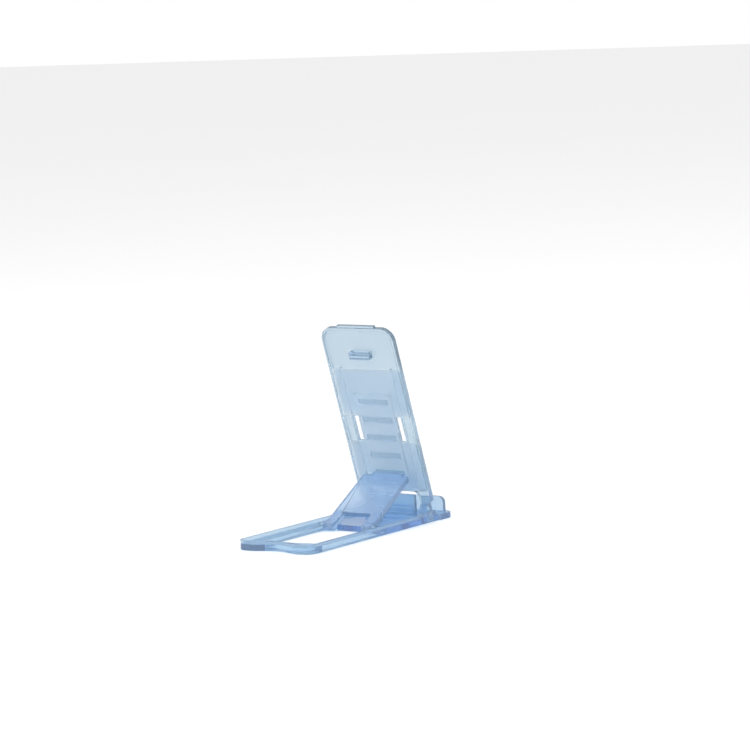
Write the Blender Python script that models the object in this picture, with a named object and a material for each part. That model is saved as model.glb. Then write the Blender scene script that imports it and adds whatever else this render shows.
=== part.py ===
"""Folding tablet stand: a base frame, a leaning back rest, a prop strut and a grip pad.

Units are metres. +Z is up, +Y is towards the rear and X runs across the stand.
The origin is on the floor, straight below the hinge between the base and the back rest.
The back rest and the strut are modelled in their own axes, with the origin on the axis
that each one turns about. The back rest's own Z runs up its face and its own Y points out
of its rear; the strut's own Y runs along it. Both are then tilted to the first notch.
"""
import math

import bmesh
import bpy

# ---------------------------------------------------------------- fits
RUN_GAP = 0.0004            # side play between pieces that turn past each other
SEAT_GAP = 0.0003           # gap between pieces that touch
PIN_PLAY = 0.0003           # radial play of a moulded stub in its hole
TIP_GAP = 0.00060           # gap between the strut's tongue and the ladder block
PIVOT_GAP = 0.0006          # strut foot to the side of the window

# ---------------------------------------------------------------- base frame
BASE_WIDTH = 0.0494
BASE_REAR = 0.1120          # hinge axis to the rear edge
PLATE_THICKNESS = 0.0032
REAR_CORNER = 0.0060
NOTCH_DEPTH = 0.0039        # finger notch in the rear edge
NOTCH_HALF = 0.0161
RIM_HEIGHT = 0.00525        # floor to the top of the raised rim
RIM_WALL = 0.0012

HINGE_HEIGHT = 0.0035       # floor to the back rest's axis
EAR_WALL = 0.0032
EAR_NOSE = 0.0037           # how far the ears reach in front of the axis
EAR_TOP = 0.0063
EAR_FLAT_END = 0.0040       # where the top of the ear starts to fall
EAR_RAMP_END = 0.0060
EAR_RAMP_HEIGHT = 0.0054
EAR_TAPER = 0.0085          # where the ear starts to thin down to the rim
EAR_REAR = 0.0162

LEDGE_WIDTH = 0.0518        # the shelf under the device is a little wider than the base
LEDGE_STEP_REAR = -0.0043
LEDGE_STEP_FRONT = -0.0062
LEDGE_FRONT = -0.0190
LEDGE_CORNER = 0.0060
LIP_THICKNESS = 0.0026
LIP_HEIGHT = 0.0110
LIP_CORNER = 0.0035

STOP_WIDTH = 0.0266         # wall that stands in the back rest's cut-out
STOP_FRONT = -0.0009
STOP_REAR = 0.0011
STOP_TOP = 0.0142
STOP_CORNER = 0.0012
STOP_RIB_HEIGHTS = (0.0050, 0.0076)
STOP_RIB_RADIUS = 0.0008

WINDOW_FRONT = 0.0427
WINDOW_REAR = 0.0962
WINDOW_BULGE = 0.0020       # extra length at the middle, room for the catch
WINDOW_CORNER = 0.0012

PIVOT_Y = 0.0448            # strut axis
PIVOT_HEIGHT = 0.0026
LUG_WALL = 0.0022
LUG_RADIUS = 0.0024

# ---------------------------------------------------------------- back rest
REST_WIDTH = 0.0475
REST_LENGTH = 0.1099        # axis to the top shoulder
REST_THICKNESS = 0.0030
REST_SETBACK = 0.0022       # axis to the rear plane
REST_CORNER = 0.0075
REST_RIM = 0.0016
TRAY_DEPTH = 0.0015
LEAN_DEG = 17.6             # lean at the first notch

LEG_WIDTH = 0.0051
LEG_STEP_LOW = 0.0055
LEG_STEP_HIGH = 0.0069
LEG_EYE = 0.0029
CUTOUT_TOP = 0.0125
CUTOUT_CORNER = 0.0030
TRAY_BOTTOM = 0.0135
HINGE_STUB_RADIUS = 0.0014

TAB_WIDTH = 0.0246
TAB_RISE = 0.0011
TAB_THICKNESS = 0.0022

LADDER_WIDTH = 0.0244
LADDER_HEIGHT = 0.0010      # height of the block over the tray floor
LADDER_MARGIN = 0.0045      # block beyond the middle of its first and last notch
NOTCH_COUNT = 5
NOTCH_FIRST = 0.0230        # axis to the middle of the first notch
NOTCH_PITCH = 0.0107
NOTCH_OPENING = 0.0033
NOTCH_SINK = 0.0008
GUIDE_GAP = 0.0007          # strut side to guide rib
GUIDE_WALL = 0.0010
GUIDE_TOP = 0.0860
SLOT_LOW = 0.0419           # openings beside the ladder
SLOT_HIGH = 0.0567

CATCH_WIDTH = 0.0134
CATCH_LENGTH = 0.0041
CATCH_GAP = 0.0012          # catch to the rear edge of the window when folded
CATCH_REACH = 0.0020        # how far the catch stands out of the rear plane
CATCH_WALL = 0.0006
CATCH_SLOT = 0.0013
CATCH_GROOVE = 0.0006
CATCH_GROOVE_DEPTH = 0.0012

# ---------------------------------------------------------------- grip pad
PAD_BOTTOM = 0.0137
PAD_TOP = 0.0838
PAD_THICKNESS = 0.0008
PAD_SINK = 0.0004
PAD_MARGIN = 0.0016         # rest edge to pad edge
PAD_CORNER = 0.0010
PAD_SLOT_GAP = 0.0015       # pad edge to the openings beside the ladder

# ---------------------------------------------------------------- strut
STRUT_THICKNESS = 0.0028
STRUT_FOOT_WIDTH = 0.0310
STRUT_TIP_WIDTH = 0.0302
STRUT_CORNER = 0.0015
STRUT_EYE = 0.0024
FORK_DEPTH = 0.0105
FORK_WIDTH = 0.0190
FORK_CORNER = 0.0015
FORK_LEG_RAISE = 0.0010     # extra thickness of the legs on the side that faces the base
FORK_LEG_RUN = 0.0115       # axis to the end of that extra thickness
TONGUE_WIDTH = 0.0200
TONGUE_LENGTH = 0.0030
TONGUE_END = 0.0010         # thickness at the very tip
STRUT_STUB_RADIUS = 0.0010
STRUT_STUB_LENGTH = 0.0018

ARC_STEPS = 8
ROUND_SIDES = 32
OVERRUN = 0.0010            # how far cutters run past a face, and joined shapes run in

# ---------------------------------------------------------------- worked out
BASE_HALF = BASE_WIDTH / 2
REST_HALF = REST_WIDTH / 2
EAR_INNER = BASE_HALF - EAR_WALL
LEG_OUTER = EAR_INNER - RUN_GAP
LEG_INNER = LEG_OUTER - LEG_WIDTH
FOOT_HALF = STRUT_FOOT_WIDTH / 2
FORK_HALF = FORK_WIDTH / 2
LADDER_HALF = LADDER_WIDTH / 2
WINDOW_HALF = FOOT_HALF + PIVOT_GAP
GUIDE_INNER = FOOT_HALF + GUIDE_GAP
PLATE_MIDDLE = PLATE_THICKNESS / 2
REAR_PLANE = -REST_SETBACK
FRONT_PLANE = REAR_PLANE - REST_THICKNESS
TRAY_FLOOR = REAR_PLANE - TRAY_DEPTH
BLOCK_FACE = TRAY_FLOOR + LADDER_HEIGHT
LADDER_LOW = NOTCH_FIRST - LADDER_MARGIN
LADDER_HIGH = NOTCH_FIRST + NOTCH_PITCH * (NOTCH_COUNT - 1) + LADDER_MARGIN
LEAN = math.radians(LEAN_DEG)

# The tongue's tip lies level with the first notch, just behind the face of the ladder block.
TIP_Y = NOTCH_FIRST * math.sin(LEAN) + (BLOCK_FACE + TIP_GAP) * math.cos(LEAN)
TIP_Z = HINGE_HEIGHT + NOTCH_FIRST * math.cos(LEAN) - (BLOCK_FACE + TIP_GAP) * math.sin(LEAN)
STRUT_LENGTH = math.hypot(TIP_Y - PIVOT_Y, TIP_Z - PIVOT_HEIGHT)
STRUT_ANGLE = math.atan2(TIP_Z - PIVOT_HEIGHT, TIP_Y - PIVOT_Y)
STRUT_SLOPE = math.pi - STRUT_ANGLE


# ---------------------------------------------------------------- outlines
def arc(centre, radius, start_deg, end_deg, steps=ARC_STEPS):
    """Points along an arc, both ends included."""
    points = []
    for i in range(steps + 1):
        angle = math.radians(start_deg + (end_deg - start_deg) * i / steps)
        points.append((centre[0] + radius * math.cos(angle), centre[1] + radius * math.sin(angle)))
    return points


def circle(centre, radius, sides=ROUND_SIDES):
    """Full circle of points."""
    return arc(centre, radius, 0, 360 - 360 / sides, sides - 1)


def box(low, high):
    """Rectangle with square corners."""
    (x0, y0), (x1, y1) = low, high
    return [(x0, y0), (x1, y0), (x1, y1), (x0, y1)]


def rounded_box(low, high, radius):
    """Rectangle with round corners."""
    (x0, y0), (x1, y1) = low, high
    return (arc((x1 - radius, y0 + radius), radius, -90, 0)
            + arc((x1 - radius, y1 - radius), radius, 0, 90)
            + arc((x0 + radius, y1 - radius), radius, 90, 180)
            + arc((x0 + radius, y0 + radius), radius, 180, 270))


def mirrored(half):
    """Closes the right half of an outline with its mirror image."""
    left = [(-x, y) for x, y in reversed(half) if x > 1e-9]
    return half + left


def bell(x, half):
    """Raised cosine: one at the middle, zero and level at each end."""
    if abs(x) >= half:
        return 0.0
    return 0.5 + 0.5 * math.cos(math.pi * x / half)


def bell_row(half, edge, height):
    """Right half of an edge with a raised-cosine dip or bulge, from its end to the middle."""
    steps = ARC_STEPS * 2
    points = []
    for i in range(steps + 1):
        x = half * (1 - i / steps)
        points.append((x, edge + height * bell(x, half)))
    return points


def rear_path(inset):
    """Right half of the base's rear end, set in from the edge, from the side to the middle."""
    centre = (BASE_HALF - REAR_CORNER, BASE_REAR - REAR_CORNER)
    corner = arc(centre, REAR_CORNER - inset, 0, 90)
    return corner + bell_row(NOTCH_HALF, BASE_REAR - inset, -NOTCH_DEPTH)


def ledge_path():
    """Right half of the shelf's outline, from the front middle to the side of the base."""
    corner = (LEDGE_WIDTH / 2 - LEDGE_CORNER, LEDGE_FRONT + LEDGE_CORNER)
    points = [(0.0, LEDGE_FRONT)] + arc(corner, LEDGE_CORNER, -90, 0)
    extra = LEDGE_WIDTH / 2 - BASE_HALF
    run = LEDGE_STEP_REAR - LEDGE_STEP_FRONT
    for i in range(ARC_STEPS + 1):
        share = i / ARC_STEPS
        points.append((BASE_HALF + extra * bell(share, 1.0), LEDGE_STEP_FRONT + run * share))
    return points


def rim_band():
    """Outline of the raised rim: up one side, round the rear and down the other side."""
    start = (EAR_TAPER + EAR_REAR) / 2
    outer = [(BASE_HALF, start)] + rear_path(0.0)
    inner = [(BASE_HALF - RIM_WALL, start)] + rear_path(RIM_WALL)
    left_outer = [(-x, y) for x, y in reversed(outer[:-1])]
    left_inner = [(-x, y) for x, y in inner[:-1]]
    return outer + left_outer + left_inner + inner[::-1]


def ear_profile():
    """Side view of a hinge ear: round nose, flat top, short ramp, then level with the rim."""
    nose = EAR_TOP - HINGE_HEIGHT
    points = [(EAR_REAR, PLATE_MIDDLE), (EAR_REAR, RIM_HEIGHT), (EAR_RAMP_END, EAR_RAMP_HEIGHT),
              (EAR_FLAT_END, EAR_TOP)]
    points += arc((nose - EAR_NOSE, HINGE_HEIGHT), nose, 90, 180)
    points.append((-EAR_NOSE, PLATE_MIDDLE))
    return points


def window_path():
    """Opening that the strut folds into, with two slots in front of its legs."""
    leg_drop = (STRUT_THICKNESS / 2 + FORK_LEG_RAISE) / math.cos(STRUT_SLOPE)
    rise = PLATE_THICKNESS + SEAT_GAP - PIVOT_HEIGHT + leg_drop
    slot_front = PIVOT_Y - rise / math.tan(STRUT_SLOPE)
    slot_inner = FORK_HALF - RUN_GAP
    r = WINDOW_CORNER
    half = [(0.0, WINDOW_FRONT), (slot_inner, WINDOW_FRONT), (slot_inner, slot_front)]
    half += arc((WINDOW_HALF - r, slot_front + r), r, -90, 0)
    half += arc((WINDOW_HALF - r, WINDOW_REAR - r), r, 0, 90)
    half += bell_row(WINDOW_HALF - r, WINDOW_REAR, WINDOW_BULGE)[1:]
    return mirrored(half)


def window_rear_at(x):
    """Y of the window's rear edge at this distance from the middle."""
    return WINDOW_REAR + WINDOW_BULGE * bell(x, WINDOW_HALF - WINDOW_CORNER)


def rest_outline():
    """Front view of the back rest: two legs, the cut-out between them and round shoulders."""
    r = CUTOUT_CORNER
    half = [(0.0, CUTOUT_TOP)] + arc((LEG_INNER - r, CUTOUT_TOP - r), r, 90, 0)
    half += [(LEG_INNER, LEG_EYE), (LEG_OUTER, LEG_EYE), (LEG_OUTER, LEG_STEP_LOW),
             (REST_HALF, LEG_STEP_HIGH)]
    half += arc((REST_HALF - REST_CORNER, REST_LENGTH - REST_CORNER), REST_CORNER, 0, 90)
    half.append((0.0, REST_LENGTH))
    return mirrored(half)


def tray_outline():
    """Inside of the raised edge on the back rest's rear."""
    side = REST_HALF - REST_RIM
    r = REST_CORNER - REST_RIM
    half = [(0.0, TRAY_BOTTOM), (side, TRAY_BOTTOM)]
    half += arc((side - r, REST_LENGTH - REST_RIM - r), r, 0, 90)
    half.append((0.0, REST_LENGTH - REST_RIM))
    return mirrored(half)


def leg_profile():
    """Side view of a leg's foot: from the panel back to the round eye on the hinge axis."""
    points = [(REAR_PLANE, LEG_STEP_HIGH), (FRONT_PLANE, LEG_STEP_HIGH), (FRONT_PLANE, LEG_EYE / 2)]
    points += arc((0.0, 0.0), LEG_EYE, 210, 420, ARC_STEPS * 3)
    points += [(REAR_PLANE / 8, LEG_EYE + SEAT_GAP), (REAR_PLANE, LEG_STEP_LOW)]
    return points


def pad_outline(grow):
    """Grip pad: full width below and above the side openings, narrow between them."""
    side = REST_HALF - PAD_MARGIN + grow
    waist = LADDER_HALF - SEAT_GAP * 2 + grow
    low, high = SLOT_LOW - PAD_SLOT_GAP + grow, SLOT_HIGH + PAD_SLOT_GAP - grow
    bottom, top = PAD_BOTTOM - grow, PAD_TOP + grow
    r = PAD_CORNER
    half = [(0.0, bottom)] + arc((side - r, bottom + r), r, -90, 0)
    half += arc((side - r, low - r), r, 0, 90) + [(waist, low), (waist, high)]
    half += arc((side - r, high + r), r, -90, 0) + arc((side - r, top - r), r, 0, 90)
    half.append((0.0, top))
    return mirrored(half)


def strut_outline():
    """Plan of the strut: two fork legs at the foot and shoulders beside the tongue."""
    shoulder = STRUT_LENGTH - TONGUE_LENGTH
    tip_half = STRUT_TIP_WIDTH / 2
    half = [(0.0, FORK_DEPTH)]
    half += arc((FORK_HALF - FORK_CORNER, FORK_DEPTH - FORK_CORNER), FORK_CORNER, 90, 0)
    half += [(FORK_HALF, 0.0), (FOOT_HALF, 0.0), (FOOT_HALF, FORK_LEG_RUN)]
    half += arc((tip_half - STRUT_CORNER, shoulder - STRUT_CORNER), STRUT_CORNER, 0, 90)
    half.append((0.0, shoulder))
    return mirrored(half)


def fork_profile():
    """Side view of a fork leg: round eye, thicker on the side that faces the base."""
    thick = STRUT_THICKNESS / 2 + FORK_LEG_RAISE
    thin = STRUT_THICKNESS / 2
    points = arc((0.0, 0.0), STRUT_EYE, 90, 270, ARC_STEPS * 2)
    points += [(STRUT_EYE * 2, -thin), (FORK_LEG_RUN - thick, -thin)]
    points += arc((FORK_LEG_RUN - thick + thin, 0.0), thick, 0, 90)
    return points


def tongue_profile():
    """Side view of the tongue, tapering to its tip."""
    root = STRUT_LENGTH - TONGUE_LENGTH
    thin = STRUT_THICKNESS / 2
    return [(root - OVERRUN, -thin), (root, -thin), (STRUT_LENGTH, -TONGUE_END / 2),
            (STRUT_LENGTH, TONGUE_END / 2), (root, thin), (root - OVERRUN, thin)]


# ---------------------------------------------------------------- solids
def spot(axis, u, v, w):
    """Point (u, v) of an outline, at w along the axis that it is swept along."""
    if axis == "Z":
        return (u, v, w)
    if axis == "X":
        return (w, u, v)
    return (u, w, v)


def add_prism(bm, outline, axis, low, high):
    """Adds a closed prism: an outline swept along one axis, with its faces turned outwards."""
    bottom = [bm.verts.new(spot(axis, u, v, low)) for u, v in outline]
    top = [bm.verts.new(spot(axis, u, v, high)) for u, v in outline]
    count = len(outline)
    faces = [bm.faces.new(bottom), bm.faces.new(top)]
    for i in range(count):
        j = (i + 1) % count
        faces.append(bm.faces.new((bottom[i], bottom[j], top[j], top[i])))
    bmesh.ops.recalc_face_normals(bm, faces=faces)


def solid(name, prisms):
    """An object made of one or more prisms, each given as outline, axis, low and high."""
    bm = bmesh.new()
    for prism in prisms:
        add_prism(bm, *prism)
    mesh = bpy.data.meshes.new(name)
    bm.to_mesh(mesh)
    bm.free()
    made = bpy.data.objects.new(name, mesh)
    bpy.context.scene.collection.objects.link(made)
    return made


def on_both_sides(outline, axis, low, high):
    """A prism and its mirror image in X."""
    if axis == "X":
        return [(outline, axis, low, high), (outline, axis, -high, -low)]
    flipped = [(-u, v) for u, v in outline]
    return [(outline, axis, low, high), (flipped, axis, low, high)]


def combine(target, operation, name, prisms):
    """Adds or cuts prisms with a Boolean; the helper object stays as a hidden guide."""
    helper = solid(name, prisms)
    helper.hide_render = True
    helper.display_type = "WIRE"
    helper.parent = target
    step = target.modifiers.new(name, "BOOLEAN")
    step.operation = operation
    step.object = helper


def finish(target, colour, roughness, alpha):
    """Gives the object its own material and smooth round faces."""
    material = bpy.data.materials.new(target.name)
    material.use_nodes = True
    shader = material.node_tree.nodes["Principled BSDF"]
    shader.inputs["Base Color"].default_value = (*colour, 1.0)
    shader.inputs["Roughness"].default_value = roughness
    shader.inputs["Metallic"].default_value = 0.0
    shader.inputs["Alpha"].default_value = alpha
    target.data.materials.append(material)
    target.data.shade_smooth()
    target.data.set_sharp_from_angle(angle=math.radians(35))


# ---------------------------------------------------------------- pieces
def make_base():
    """Plate with rim, ears, shelf and lip, back stop, strut window and pivot lugs."""
    plate = mirrored(ledge_path() + rear_path(0.0))
    base = solid("base_frame", [(plate, "Z", 0.0, PLATE_THICKNESS)])
    combine(base, "UNION", "rim", [(rim_band(), "Z", PLATE_MIDDLE, RIM_HEIGHT)])
    combine(base, "UNION", "ears", on_both_sides(ear_profile(), "X", EAR_INNER, BASE_HALF))

    # The ears thin down to the rim towards the rear.
    taper = [(EAR_INNER - OVERRUN, EAR_TAPER), (EAR_INNER, EAR_TAPER),
             (BASE_HALF - RIM_WALL, EAR_REAR), (BASE_HALF - RIM_WALL, EAR_REAR + OVERRUN),
             (EAR_INNER - OVERRUN, EAR_REAR + OVERRUN)]
    combine(base, "DIFFERENCE", "ear_tapers",
            on_both_sides(taper, "Z", PLATE_THICKNESS, RIM_HEIGHT + OVERRUN))

    lip_half = LEDGE_WIDTH / 2 - LEDGE_CORNER
    lip_bend = (lip_half - LIP_CORNER, LIP_HEIGHT - LIP_CORNER)
    lip = [(0.0, PLATE_MIDDLE), (lip_half, PLATE_MIDDLE)] + arc(lip_bend, LIP_CORNER, 0, 90)
    lip.append((0.0, LIP_HEIGHT))
    combine(base, "UNION", "lip",
            [(mirrored(lip), "Y", LEDGE_FRONT, LEDGE_FRONT + LIP_THICKNESS)])

    stop = rounded_box((-STOP_WIDTH / 2, 0.0), (STOP_WIDTH / 2, STOP_TOP), STOP_CORNER)
    combine(base, "UNION", "back_stop", [(stop, "Y", STOP_FRONT, STOP_REAR)])
    ribs = []
    for height in STOP_RIB_HEIGHTS:
        rib = circle((STOP_REAR, height), STOP_RIB_RADIUS, ROUND_SIDES // 2)
        ribs.append((rib, "X", OVERRUN - STOP_WIDTH / 2, STOP_WIDTH / 2 - OVERRUN))
    combine(base, "UNION", "stop_ribs", ribs)

    lug = arc((PIVOT_Y, PIVOT_HEIGHT), LUG_RADIUS, 0, 180, ARC_STEPS * 2)
    lug += [(PIVOT_Y - LUG_RADIUS, PLATE_MIDDLE), (PIVOT_Y + LUG_RADIUS, PLATE_MIDDLE)]
    combine(base, "UNION", "pivot_lugs",
            on_both_sides(lug, "X", WINDOW_HALF, WINDOW_HALF + LUG_WALL))

    through = (-OVERRUN, PLATE_THICKNESS + OVERRUN)
    combine(base, "DIFFERENCE", "window", [(window_path(), "Z", *through)])
    room = LEG_EYE + RUN_GAP
    pocket = box((LEG_INNER - RUN_GAP, -room), (EAR_INNER, room))
    combine(base, "DIFFERENCE", "leg_pockets", on_both_sides(pocket, "Z", *through))

    hinge_hole = circle((0.0, HINGE_HEIGHT), HINGE_STUB_RADIUS + PIN_PLAY)
    combine(base, "DIFFERENCE", "hinge_holes",
            on_both_sides(hinge_hole, "X", EAR_INNER - OVERRUN, BASE_HALF + OVERRUN))
    pivot_hole = circle((PIVOT_Y, PIVOT_HEIGHT), STRUT_STUB_RADIUS + PIN_PLAY)
    hole_end = WINDOW_HALF + STRUT_STUB_LENGTH + SEAT_GAP
    combine(base, "DIFFERENCE", "pivot_holes",
            on_both_sides(pivot_hole, "X", WINDOW_HALF - OVERRUN, hole_end))
    finish(base, (0.55, 0.72, 0.90), 0.15, 0.55)


def make_rest():
    """Leaning panel with a tray on its rear, a notched ladder block, guides, catch and legs."""
    rest = solid("back_rest", [(rest_outline(), "Y", FRONT_PLANE, REAR_PLANE)])
    feet = on_both_sides(leg_profile(), "X", LEG_INNER, LEG_OUTER)
    combine(rest, "UNION", "feet", feet)
    stub = circle((0.0, 0.0), HINGE_STUB_RADIUS)
    combine(rest, "UNION", "hinge_stubs",
            on_both_sides(stub, "X", LEG_OUTER - OVERRUN, BASE_HALF - SEAT_GAP))
    tab = box((-TAB_WIDTH / 2, REST_LENGTH - REST_RIM / 2), (TAB_WIDTH / 2, REST_LENGTH + TAB_RISE))
    combine(rest, "UNION", "tab", [(tab, "Y", FRONT_PLANE, FRONT_PLANE + TAB_THICKNESS)])

    combine(rest, "DIFFERENCE", "tray", [(tray_outline(), "Y", TRAY_FLOOR, REAR_PLANE + OVERRUN)])
    root = TRAY_FLOOR - SEAT_GAP
    ladder = box((-LADDER_HALF, LADDER_LOW), (LADDER_HALF, LADDER_HIGH))
    combine(rest, "UNION", "ladder", [(ladder, "Y", root, BLOCK_FACE)])
    guide = box((GUIDE_INNER, TRAY_BOTTOM - REST_RIM / 4), (GUIDE_INNER + GUIDE_WALL, GUIDE_TOP))
    combine(rest, "UNION", "guides", on_both_sides(guide, "Y", root, REAR_PLANE - SEAT_GAP))

    catch_high = window_rear_at(CATCH_WIDTH / 2) - CATCH_GAP
    catch_low = catch_high - CATCH_LENGTH
    catch_half = CATCH_WIDTH / 2
    catch = box((-catch_half, catch_low), (catch_half, catch_high))
    combine(rest, "UNION", "catch", [(catch, "Y", root, REAR_PLANE + CATCH_REACH)])

    notches = []
    notch_half = TONGUE_WIDTH / 2 + SEAT_GAP
    for i in range(NOTCH_COUNT):
        middle = NOTCH_FIRST + NOTCH_PITCH * i
        notch = box((-notch_half, middle - NOTCH_OPENING / 2), (notch_half, middle + NOTCH_OPENING / 2))
        notches.append((notch, "Y", BLOCK_FACE - NOTCH_SINK, BLOCK_FACE + OVERRUN))
    combine(rest, "DIFFERENCE", "notches", notches)

    side_slot = box((LADDER_HALF, SLOT_LOW), (GUIDE_INNER, SLOT_HIGH))
    combine(rest, "DIFFERENCE", "side_slots",
            on_both_sides(side_slot, "Y", FRONT_PLANE - OVERRUN, REAR_PLANE + OVERRUN))

    inner_half = catch_half - CATCH_WALL
    slot_high = catch_high - CATCH_WALL
    groove_low = catch_low + CATCH_WALL
    catch_slot = box((-inner_half, slot_high - CATCH_SLOT), (inner_half, slot_high))
    groove = box((-inner_half, groove_low), (inner_half, groove_low + CATCH_GROOVE))
    catch_face = REAR_PLANE + CATCH_REACH
    combine(rest, "DIFFERENCE", "catch_slot",
            [(catch_slot, "Y", FRONT_PLANE - OVERRUN, catch_face + OVERRUN),
             (groove, "Y", catch_face - CATCH_GROOVE_DEPTH, catch_face + OVERRUN)])

    combine(rest, "DIFFERENCE", "pad_recess",
            [(pad_outline(SEAT_GAP), "Y", FRONT_PLANE - OVERRUN, FRONT_PLANE + PAD_SINK)])
    rest.location = (0.0, 0.0, HINGE_HEIGHT)
    rest.rotation_euler = (-LEAN, 0.0, 0.0)
    finish(rest, (0.62, 0.77, 0.93), 0.15, 0.55)
    return rest


def make_pad(rest):
    """Thin soft sheet that lies in the recess on the face towards the device."""
    back = FRONT_PLANE + PAD_SINK - SEAT_GAP
    pad = solid("grip_pad", [(pad_outline(0.0), "Y", back - PAD_THICKNESS, back)])
    pad.parent = rest
    finish(pad, (0.80, 0.87, 0.93), 0.6, 1.0)


def make_strut():
    """Prop with two fork legs on moulded stubs and a tongue for the ladder."""
    thin = STRUT_THICKNESS / 2
    strut = solid("prop_strut", [(strut_outline(), "Z", -thin, thin)])
    combine(strut, "UNION", "fork_legs", on_both_sides(fork_profile(), "X", FORK_HALF, FOOT_HALF))
    tongue_half = TONGUE_WIDTH / 2
    combine(strut, "UNION", "tongue", [(tongue_profile(), "X", -tongue_half, tongue_half)])
    stub = circle((0.0, 0.0), STRUT_STUB_RADIUS)
    combine(strut, "UNION", "pivot_stubs",
            on_both_sides(stub, "X", FOOT_HALF - OVERRUN, WINDOW_HALF + STRUT_STUB_LENGTH))
    strut.location = (0.0, PIVOT_Y, PIVOT_HEIGHT)
    strut.rotation_euler = (STRUT_ANGLE, 0.0, 0.0)
    finish(strut, (0.50, 0.68, 0.88), 0.25, 0.6)


def clear_scene():
    """Removes whatever the scene holds."""
    for old in list(bpy.data.objects):
        bpy.data.objects.remove(old, do_unlink=True)


clear_scene()
make_base()
make_pad(make_rest())
make_strut()
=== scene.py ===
import math

import bmesh
import bpy
import numpy as np
from mathutils import Matrix, Vector


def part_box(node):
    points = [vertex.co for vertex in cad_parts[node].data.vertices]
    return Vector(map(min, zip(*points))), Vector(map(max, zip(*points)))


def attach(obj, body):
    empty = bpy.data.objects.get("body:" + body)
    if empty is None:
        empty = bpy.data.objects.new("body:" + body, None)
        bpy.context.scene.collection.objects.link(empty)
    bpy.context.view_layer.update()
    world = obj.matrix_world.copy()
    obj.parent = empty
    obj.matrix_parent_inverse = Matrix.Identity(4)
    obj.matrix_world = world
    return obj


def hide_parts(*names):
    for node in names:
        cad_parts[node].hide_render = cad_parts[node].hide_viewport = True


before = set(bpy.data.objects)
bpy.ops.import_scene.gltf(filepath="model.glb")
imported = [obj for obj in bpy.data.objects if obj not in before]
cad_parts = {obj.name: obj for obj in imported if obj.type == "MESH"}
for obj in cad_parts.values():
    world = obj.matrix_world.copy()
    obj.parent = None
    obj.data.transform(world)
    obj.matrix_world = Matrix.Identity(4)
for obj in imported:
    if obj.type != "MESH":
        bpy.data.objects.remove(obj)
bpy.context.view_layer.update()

MM = 0.001

# Sizes of the back rest's rear, measured up the panel from its hinge axis.
LEAN = math.radians(17.6)
HINGE_HEIGHT = 3.5 * MM
MILKY_LOW, MILKY_HIGH = 13.2 * MM, 85.2 * MM
MILKY_HALF_WIDTH = 22.3 * MM
MILKY_DEPTH = -4.1 * MM         # just in front of the tray's floor
SLOT_LOW, SLOT_HIGH = 41.9 * MM, 56.7 * MM
SLOT_INNER = 12.3 * MM
NOTCH_COUNT = 5
NOTCH_FIRST, NOTCH_PITCH = 23.0, 10.7      # mm
NOTCH_HALF_HEIGHT = 1.65 * MM
NOTCH_HALF_WIDTH = 10.2 * MM
NOTCH_CLEARNESS = 0.75

JOIN_DISTANCE = 0.00001
SHARP_ANGLE = math.radians(32)
GRAIN_SCALE = 900.0
GRAIN_SHARE = 0.12
SCUFF_SHARE = 0.6
MILKY_COLOUR = (0.88, 0.91, 0.92, 1.0)
MILKY_ROUGHNESS = 0.62
RELIEF_DISTANCE = 0.0002
PLASTIC_IOR = 1.49

FLOOR_HALF = 9.0
FLOOR_DROP = 0.00005
LIGHT_AIM = (0, 0, 0.05)
CAMERA_AZIMUTH = math.radians(215.98)
CAMERA_ELEVATION = math.radians(6.72)
CAMERA_ROLL = math.radians(-2.74)
CAMERA_TARGET = Vector((2.95 * MM, 9.83 * MM, 81.0 * MM))
CAMERA_DISTANCE = 1.8387
CAMERA_LENS = 161.8


# ------------------------------------------------------------------ rounded mouldings
def moulded_copy(node, name, radius, segments=3):
    """A moulding with softened edges: the frame's node with its loose triangles joined, every
    sharp edge replaced by an arc of this radius, and its points kept inside the node's box."""
    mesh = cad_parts[node].data.copy()
    mesh.name = name
    mesh.materials.clear()
    bm = bmesh.new()
    bm.from_mesh(mesh)
    bmesh.ops.remove_doubles(bm, verts=bm.verts, dist=JOIN_DISTANCE)
    bm.to_mesh(mesh)
    bm.free()
    piece = bpy.data.objects.new(name, mesh)
    bpy.context.scene.collection.objects.link(piece)
    rounding = piece.modifiers.new("rounding", "BEVEL")
    rounding.width = radius
    rounding.segments = segments
    rounding.limit_method = "ANGLE"
    rounding.angle_limit = SHARP_ANGLE
    rounding.use_clamp_overlap = False
    bpy.context.view_layer.update()
    shaped = piece.evaluated_get(bpy.context.evaluated_depsgraph_get())
    piece.data = bpy.data.meshes.new_from_object(shaped)
    piece.data.name = name
    piece.modifiers.clear()

    points = np.empty(len(piece.data.vertices) * 3)
    piece.data.vertices.foreach_get("co", points)
    low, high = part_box(node)
    kept = np.clip(points.reshape(-1, 3), np.array(low), np.array(high))
    piece.data.vertices.foreach_set("co", kept.ravel())
    piece.data.update()
    piece.data.shade_smooth()
    even = piece.modifiers.new("even_shading", "WEIGHTED_NORMAL")
    even.weight = 80
    return piece


# ------------------------------------------------------------------ shader groups
def group_socket(group, name, kind, way, value=None):
    """Adds one socket to a node group."""
    socket = group.interface.new_socket(name=name, in_out=way, socket_type=kind)
    if value is not None:
        socket.default_value = value


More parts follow.
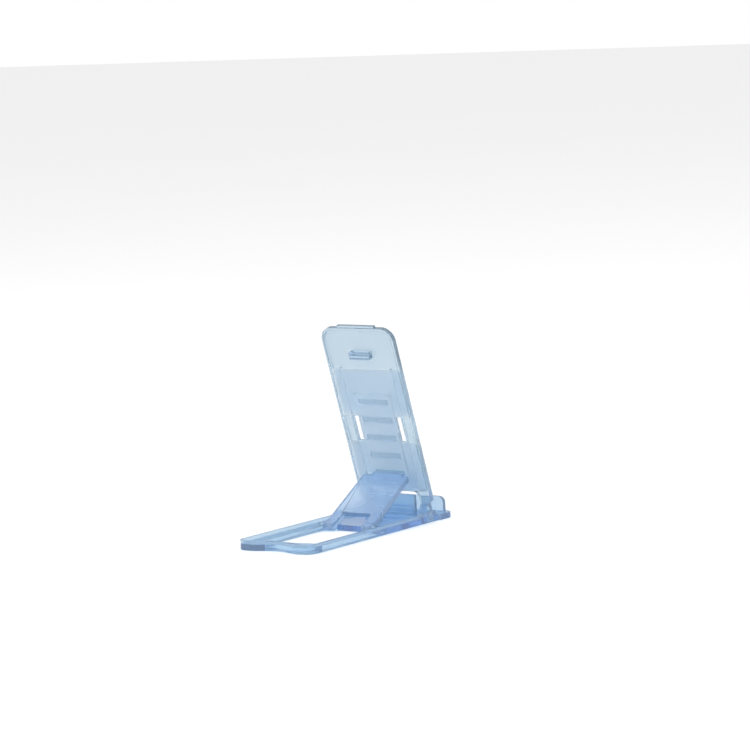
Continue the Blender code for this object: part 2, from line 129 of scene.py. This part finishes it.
def build_moulding_group():
    """Marks of an injection moulding: faint flow lines, fine dimples and a few long scuffs.

    Height is the flow noise plus a small share of the grain noise, Scuff Mask is how far each
    point has been scuffed, and Cloud is the flow noise by itself."""
    group = bpy.data.node_groups.new("moulding_marks", "ShaderNodeTree")
    group_socket(group, "Grain Scale", "NodeSocketFloat", "INPUT", GRAIN_SCALE)
    group_socket(group, "Flow Scale", "NodeSocketFloat", "INPUT", 60.0)
    group_socket(group, "Scuffs", "NodeSocketFloat", "INPUT", 0.5)
    group_socket(group, "Height", "NodeSocketFloat", "OUTPUT")
    group_socket(group, "Scuff Mask", "NodeSocketFloat", "OUTPUT")
    group_socket(group, "Cloud", "NodeSocketFloat", "OUTPUT")
    nodes, links = group.nodes, group.links
    inlet = nodes.new("NodeGroupInput")
    outlet = nodes.new("NodeGroupOutput")
    place = nodes.new("ShaderNodeTexCoord")

    grain = nodes.new("ShaderNodeTexNoise")
    grain.inputs["Detail"].default_value = 2.0
    links.new(place.outputs["Object"], grain.inputs["Vector"])
    links.new(inlet.outputs["Grain Scale"], grain.inputs["Scale"])

    stretch = nodes.new("ShaderNodeMapping")
    stretch.inputs["Scale"].default_value = (3.0, 0.6, 0.6)
    flow = nodes.new("ShaderNodeTexNoise")
    flow.inputs["Detail"].default_value = 3.0
    flow.inputs["Distortion"].default_value = 0.6
    links.new(place.outputs["Object"], stretch.inputs["Vector"])
    links.new(stretch.outputs["Vector"], flow.inputs["Vector"])
    links.new(inlet.outputs["Flow Scale"], flow.inputs["Scale"])

    turn = nodes.new("ShaderNodeMapping")
    turn.inputs["Rotation"].default_value = (0.3, 0.5, 0.7)
    turn.inputs["Scale"].default_value = (1.0, 14.0, 1.0)
    scuff = nodes.new("ShaderNodeTexNoise")
    scuff.inputs["Scale"].default_value = 90.0
    scuff.inputs["Detail"].default_value = 4.0
    links.new(place.outputs["Object"], turn.inputs["Vector"])
    links.new(turn.outputs["Vector"], scuff.inputs["Vector"])
    keep = nodes.new("ShaderNodeMapRange")
    keep.inputs["From Min"].default_value = 0.62
    keep.inputs["From Max"].default_value = 0.72
    links.new(scuff.outputs["Fac"], keep.inputs["Value"])
    share = nodes.new("ShaderNodeMath")
    share.operation = "MULTIPLY"
    links.new(keep.outputs["Result"], share.inputs[0])
    links.new(inlet.outputs["Scuffs"], share.inputs[1])

    fine = nodes.new("ShaderNodeMath")
    fine.operation = "MULTIPLY"
    fine.inputs[1].default_value = GRAIN_SHARE
    links.new(grain.outputs["Fac"], fine.inputs[0])
    total = nodes.new("ShaderNodeMath")
    total.operation = "ADD"
    links.new(fine.outputs["Value"], total.inputs[0])
    links.new(flow.outputs["Fac"], total.inputs[1])

    links.new(total.outputs["Value"], outlet.inputs["Height"])
    links.new(share.outputs["Value"], outlet.inputs["Scuff Mask"])
    links.new(flow.outputs["Fac"], outlet.inputs["Cloud"])
    return group


def add_math(group, operation, first, second=None):
    """A math node; each value is a number or a socket to link. Returns its result."""
    node = group.nodes.new("ShaderNodeMath")
    node.operation = operation
    for place, value in ((0, first), (1, second)):
        if isinstance(value, (int, float)):
            node.inputs[place].default_value = value
        elif value is not None:
            group.links.new(value, node.inputs[place])
    return node.outputs["Value"]


def add_rise(group, value, edge, soft=0.00015):
    """Zero below the edge and one above it, with a short smooth step."""
    node = group.nodes.new("ShaderNodeMapRange")
    node.interpolation_type = "SMOOTHSTEP"
    node.inputs["From Min"].default_value = edge - soft
    node.inputs["From Max"].default_value = edge + soft
    group.links.new(value, node.inputs["Value"])
    return node.outputs["Result"]


def add_between(group, value, low, high):
    """One between two edges and zero outside them."""
    past = add_math(group, "SUBTRACT", 1.0, add_rise(group, value, high))
    return add_math(group, "MULTIPLY", add_rise(group, value, low), past)


def build_zone_group():
    """Where the back rest's rear is textured milky: all over its tray from the cut-out to just
    below the catch, but not beside the side slots, and only faintly in the ladder's notches."""
    group = bpy.data.node_groups.new("milky_zones", "ShaderNodeTree")
    group_socket(group, "Milky", "NodeSocketFloat", "OUTPUT")
    outlet = group.nodes.new("NodeGroupOutput")
    place = group.nodes.new("ShaderNodeTexCoord")
    from_axis = group.nodes.new("ShaderNodeVectorMath")
    from_axis.operation = "SUBTRACT"
    from_axis.inputs[1].default_value = (0.0, 0.0, HINGE_HEIGHT)
    group.links.new(place.outputs["Object"], from_axis.inputs[0])
    measured = []
    up_panel = (0.0, math.sin(LEAN), math.cos(LEAN))
    out_of_rear = (0.0, math.cos(LEAN), -math.sin(LEAN))
    for direction in (up_panel, out_of_rear):
        along = group.nodes.new("ShaderNodeVectorMath")
        along.operation = "DOT_PRODUCT"
        along.inputs[1].default_value = direction
        group.links.new(from_axis.outputs["Vector"], along.inputs[0])
        measured.append(along.outputs["Value"])
    height, depth = measured
    split = group.nodes.new("ShaderNodeSeparateXYZ")
    group.links.new(place.outputs["Object"], split.inputs["Vector"])
    side = add_math(group, "ABSOLUTE", split.outputs["X"])

    sheet = add_between(group, height, MILKY_LOW, MILKY_HIGH)
    sheet = add_math(group, "MULTIPLY", sheet, add_between(group, side, -1.0, MILKY_HALF_WIDTH))
    sheet = add_math(group, "MULTIPLY", sheet, add_rise(group, depth, MILKY_DEPTH))
    beside = add_between(group, height, SLOT_LOW, SLOT_HIGH)
    beside = add_math(group, "MULTIPLY", beside, add_rise(group, side, SLOT_INNER))
    notches = None
    for step in range(NOTCH_COUNT):
        middle = (NOTCH_FIRST + NOTCH_PITCH * step) * MM
        notch = add_between(group, height, middle - NOTCH_HALF_HEIGHT, middle + NOTCH_HALF_HEIGHT)
        notches = notch if notches is None else add_math(group, "ADD", notches, notch)
    across = add_between(group, side, -1.0, NOTCH_HALF_WIDTH)
    notches = add_math(group, "MULTIPLY", notches, across)
    notches = add_math(group, "MULTIPLY", notches, NOTCH_CLEARNESS)
    clear = add_math(group, "SUBTRACT", 1.0, add_math(group, "MAXIMUM", beside, notches))
    group.links.new(add_math(group, "MULTIPLY", sheet, clear), outlet.inputs["Milky"])
    return group


MOULDING = build_moulding_group()
ZONES = build_zone_group()


def plastic(name, pale, deep, inner, density, smooth, rough, clear, bump, flow_scale, zones=None):
    """Tinted moulded plastic, with a milky texture where zones says so.

    The colour drifts between pale and deep with the flow of the plastic, scuffs raise the
    roughness from smooth to rough, and light is absorbed along its way through the piece,
    so that it is pale face on and deeper blue through its edges."""
    material = bpy.data.materials.new(name)
    material.use_nodes = True
    nodes, links = material.node_tree.nodes, material.node_tree.links
    shader = nodes["Principled BSDF"]
    outlet = nodes["Material Output"]

    marks = nodes.new("ShaderNodeGroup")
    marks.node_tree = MOULDING
    marks.inputs["Grain Scale"].default_value = GRAIN_SCALE
    marks.inputs["Flow Scale"].default_value = flow_scale
    marks.inputs["Scuffs"].default_value = SCUFF_SHARE

    drift = nodes.new("ShaderNodeMix")
    drift.data_type = "RGBA"
    drift.inputs["A"].default_value = (*pale, 1.0)
    drift.inputs["B"].default_value = (*deep, 1.0)
    links.new(marks.outputs["Cloud"], drift.inputs["Factor"])
    colour = drift.outputs["Result"]

    dull = nodes.new("ShaderNodeMapRange")
    dull.inputs["To Min"].default_value = smooth
    dull.inputs["To Max"].default_value = rough
    links.new(marks.outputs["Scuff Mask"], dull.inputs["Value"])
    gloss = dull.outputs["Result"]

    if zones is not None:
        milky = nodes.new("ShaderNodeGroup")
        milky.node_tree = zones
        whiten = nodes.new("ShaderNodeMix")
        whiten.data_type = "RGBA"
        whiten.inputs["B"].default_value = MILKY_COLOUR
        links.new(milky.outputs["Milky"], whiten.inputs["Factor"])
        links.new(colour, whiten.inputs["A"])
        colour = whiten.outputs["Result"]
        roughen = nodes.new("ShaderNodeMix")
        roughen.inputs["B"].default_value = MILKY_ROUGHNESS
        links.new(milky.outputs["Milky"], roughen.inputs["Factor"])
        links.new(gloss, roughen.inputs["A"])
        gloss = roughen.outputs["Result"]
    links.new(colour, shader.inputs["Base Color"])
    links.new(gloss, shader.inputs["Roughness"])

    relief = nodes.new("ShaderNodeBump")
    relief.inputs["Strength"].default_value = bump
    relief.inputs["Distance"].default_value = RELIEF_DISTANCE
    links.new(marks.outputs["Height"], relief.inputs["Height"])
    links.new(relief.outputs["Normal"], shader.inputs["Normal"])

    shader.inputs["Metallic"].default_value = 0.0
    shader.inputs["IOR"].default_value = PLASTIC_IOR
    shader.inputs["Transmission Weight"].default_value = clear

    if density > 0.0:
        depth = nodes.new("ShaderNodeVolumeAbsorption")
        depth.inputs["Color"].default_value = (*inner, 1.0)
        depth.inputs["Density"].default_value = density
        links.new(depth.outputs["Volume"], outlet.inputs["Volume"])

    # Light that makes a shadow goes through, tinted, so that the shadow is a soft blue.
    see_through = nodes.new("ShaderNodeBsdfTransparent")
    see_through.inputs["Color"].default_value = (*inner, 1.0)
    ray = nodes.new("ShaderNodeLightPath")
    choice = nodes.new("ShaderNodeMixShader")
    links.new(ray.outputs["Is Shadow Ray"], choice.inputs["Fac"])
    links.new(shader.outputs["BSDF"], choice.inputs[1])
    links.new(see_through.outputs["BSDF"], choice.inputs[2])
    links.new(choice.outputs["Shader"], outlet.inputs["Surface"])
    return material


# ------------------------------------------------------------------ finishes
clear_blue = plastic("clear_blue_plastic", pale=(0.66, 0.77, 0.84), deep=(0.55, 0.68, 0.79),
                     inner=(0.38, 0.69, 0.92), density=58.0, smooth=0.06, rough=0.18,
                     clear=0.84, bump=0.10, flow_scale=60.0)
rest_blue = plastic("rest_blue_plastic", pale=(0.62, 0.72, 0.79), deep=(0.52, 0.64, 0.73),
                    inner=(0.52, 0.75, 0.93), density=40.0, smooth=0.06, rough=0.18,
                    clear=0.84, bump=0.08, flow_scale=60.0, zones=ZONES)
frosted_blue = plastic("frosted_blue_plastic", pale=(0.58, 0.69, 0.80), deep=(0.48, 0.61, 0.75),
                       inner=(0.50, 0.72, 0.93), density=40.0, smooth=0.22, rough=0.36,
                       clear=0.78, bump=0.10, flow_scale=70.0)
milky_pad = plastic("milky_pad", pale=(0.88, 0.90, 0.91), deep=(0.83, 0.87, 0.89),
                    inner=(0.80, 0.90, 1.0), density=0.0, smooth=0.50, rough=0.62,
                    clear=0.50, bump=0.25, flow_scale=150.0)


# ------------------------------------------------------------------ pieces
def fit_piece(node, name, body, material, radius):
    """Puts a refined piece in a node's place."""
    piece = moulded_copy(node, name, radius)
    piece.data.materials.append(material)
    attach(piece, body)
    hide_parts(node)
    return piece


fit_piece("base_frame", "base_moulding", "base", clear_blue, 0.28 * MM)
fit_piece("back_rest", "rest_moulding", "back_rest", rest_blue, 0.25 * MM)
fit_piece("prop_strut", "strut_moulding", "strut", frosted_blue, 0.30 * MM)
fit_piece("grip_pad", "soft_pad", "back_rest", milky_pad, 0.20 * MM)


# ------------------------------------------------------------------ studio
def matt(name, colour, roughness):
    """Plain matt surface with a faint unevenness."""
    material = bpy.data.materials.new(name)
    material.use_nodes = True
    nodes, links = material.node_tree.nodes, material.node_tree.links
    shader = nodes["Principled BSDF"]
    place = nodes.new("ShaderNodeTexCoord")
    noise = nodes.new("ShaderNodeTexNoise")
    noise.inputs["Scale"].default_value = 4.0
    tint = nodes.new("ShaderNodeMix")
    tint.data_type = "RGBA"
    tint.inputs["A"].default_value = (*colour, 1.0)
    tint.inputs["B"].default_value = (*[c * 0.99 for c in colour], 1.0)
    links.new(place.outputs["Object"], noise.inputs["Vector"])
    links.new(noise.outputs["Fac"], tint.inputs["Factor"])
    links.new(tint.outputs["Result"], shader.inputs["Base Color"])
    shader.inputs["Roughness"].default_value = roughness
    return material


def build_floor():
    """A wide flat floor just under the stand."""
    mesh = bpy.data.meshes.new("floor")
    half = FLOOR_HALF
    mesh.from_pydata([(-half, -half, 0), (half, -half, 0), (half, half, 0), (-half, half, 0)],
                     [], [(0, 1, 2, 3)])
    floor = bpy.data.objects.new("floor", mesh)
    bpy.context.scene.collection.objects.link(floor)
    floor.location = (0, 0, -FLOOR_DROP)
    mesh.materials.append(matt("pale_floor", (0.96, 0.96, 0.96), 0.9))


def soft_light(name, place, aim, size, power):
    """A square area light that faces its aim."""
    data = bpy.data.lights.new(name, "AREA")
    data.shape = "SQUARE"
    data.size = size
    data.energy = power
    lamp = bpy.data.objects.new(name, data)
    bpy.context.scene.collection.objects.link(lamp)
    lamp.location = place
    away = Vector(place) - Vector(aim)
    lamp.rotation_euler = away.to_track_quat("Z", "Y").to_euler()


def build_world():
    """White to the camera; as a light it is bright overhead and greyer towards the ground."""
    world = bpy.data.worlds.new("studio")
    bpy.context.scene.world = world
    world.use_nodes = True
    nodes, links = world.node_tree.nodes, world.node_tree.links
    outlet = nodes["World Output"]
    lighting = nodes["Background"]
    lighting.inputs["Color"].default_value = (1.0, 1.0, 1.0, 1.0)
    seen = nodes.new("ShaderNodeBackground")
    seen.inputs["Color"].default_value = (1.0, 1.0, 1.0, 1.0)
    seen.inputs["Strength"].default_value = 1.0
    place = nodes.new("ShaderNodeTexCoord")
    split = nodes.new("ShaderNodeSeparateXYZ")
    fade = nodes.new("ShaderNodeMapRange")
    fade.inputs["From Min"].default_value = -0.1
    fade.inputs["From Max"].default_value = 0.7
    fade.inputs["To Min"].default_value = 0.45
    fade.inputs["To Max"].default_value = 1.0
    links.new(place.outputs["Generated"], split.inputs["Vector"])
    links.new(split.outputs["Z"], fade.inputs["Value"])
    links.new(fade.outputs["Result"], lighting.inputs["Strength"])
    ray = nodes.new("ShaderNodeLightPath")
    choice = nodes.new("ShaderNodeMixShader")
    links.new(ray.outputs["Is Camera Ray"], choice.inputs["Fac"])
    links.new(lighting.outputs["Background"], choice.inputs[1])
    links.new(seen.outputs["Background"], choice.inputs[2])
    links.new(choice.outputs["Shader"], outlet.inputs["Surface"])


def build_camera():
    """Camera behind and to the left of the stand, a little above the floor and rolled."""
    flat = math.cos(CAMERA_ELEVATION)
    back = Vector((math.sin(CAMERA_AZIMUTH) * flat, -math.cos(CAMERA_AZIMUTH) * flat,
                   math.sin(CAMERA_ELEVATION)))
    level = Vector((0, 0, 1)).cross(back).normalized()
    upright = back.cross(level)
    right = level * math.cos(CAMERA_ROLL) + upright * math.sin(CAMERA_ROLL)
    top = upright * math.cos(CAMERA_ROLL) - level * math.sin(CAMERA_ROLL)
    data = bpy.data.cameras.new("camera")
    data.lens = CAMERA_LENS
    data.sensor_width = 36.0
    data.clip_start = 0.05
    data.clip_end = 50.0
    camera = bpy.data.objects.new("camera", data)
    bpy.context.scene.collection.objects.link(camera)
    turn = Matrix((right, top, back)).transposed().to_4x4()
    turn.translation = CAMERA_TARGET + back * CAMERA_DISTANCE
    camera.matrix_world = turn
    bpy.context.scene.camera = camera


build_floor()
build_world()
soft_light("key_light", (-1.2, 1.6, 1.8), LIGHT_AIM, 1.4, 16.0)
soft_light("top_light", (0.3, 0.2, 2.2), LIGHT_AIM, 1.8, 10.0)
build_camera()
bpy.context.scene.view_settings.view_transform = "Standard"
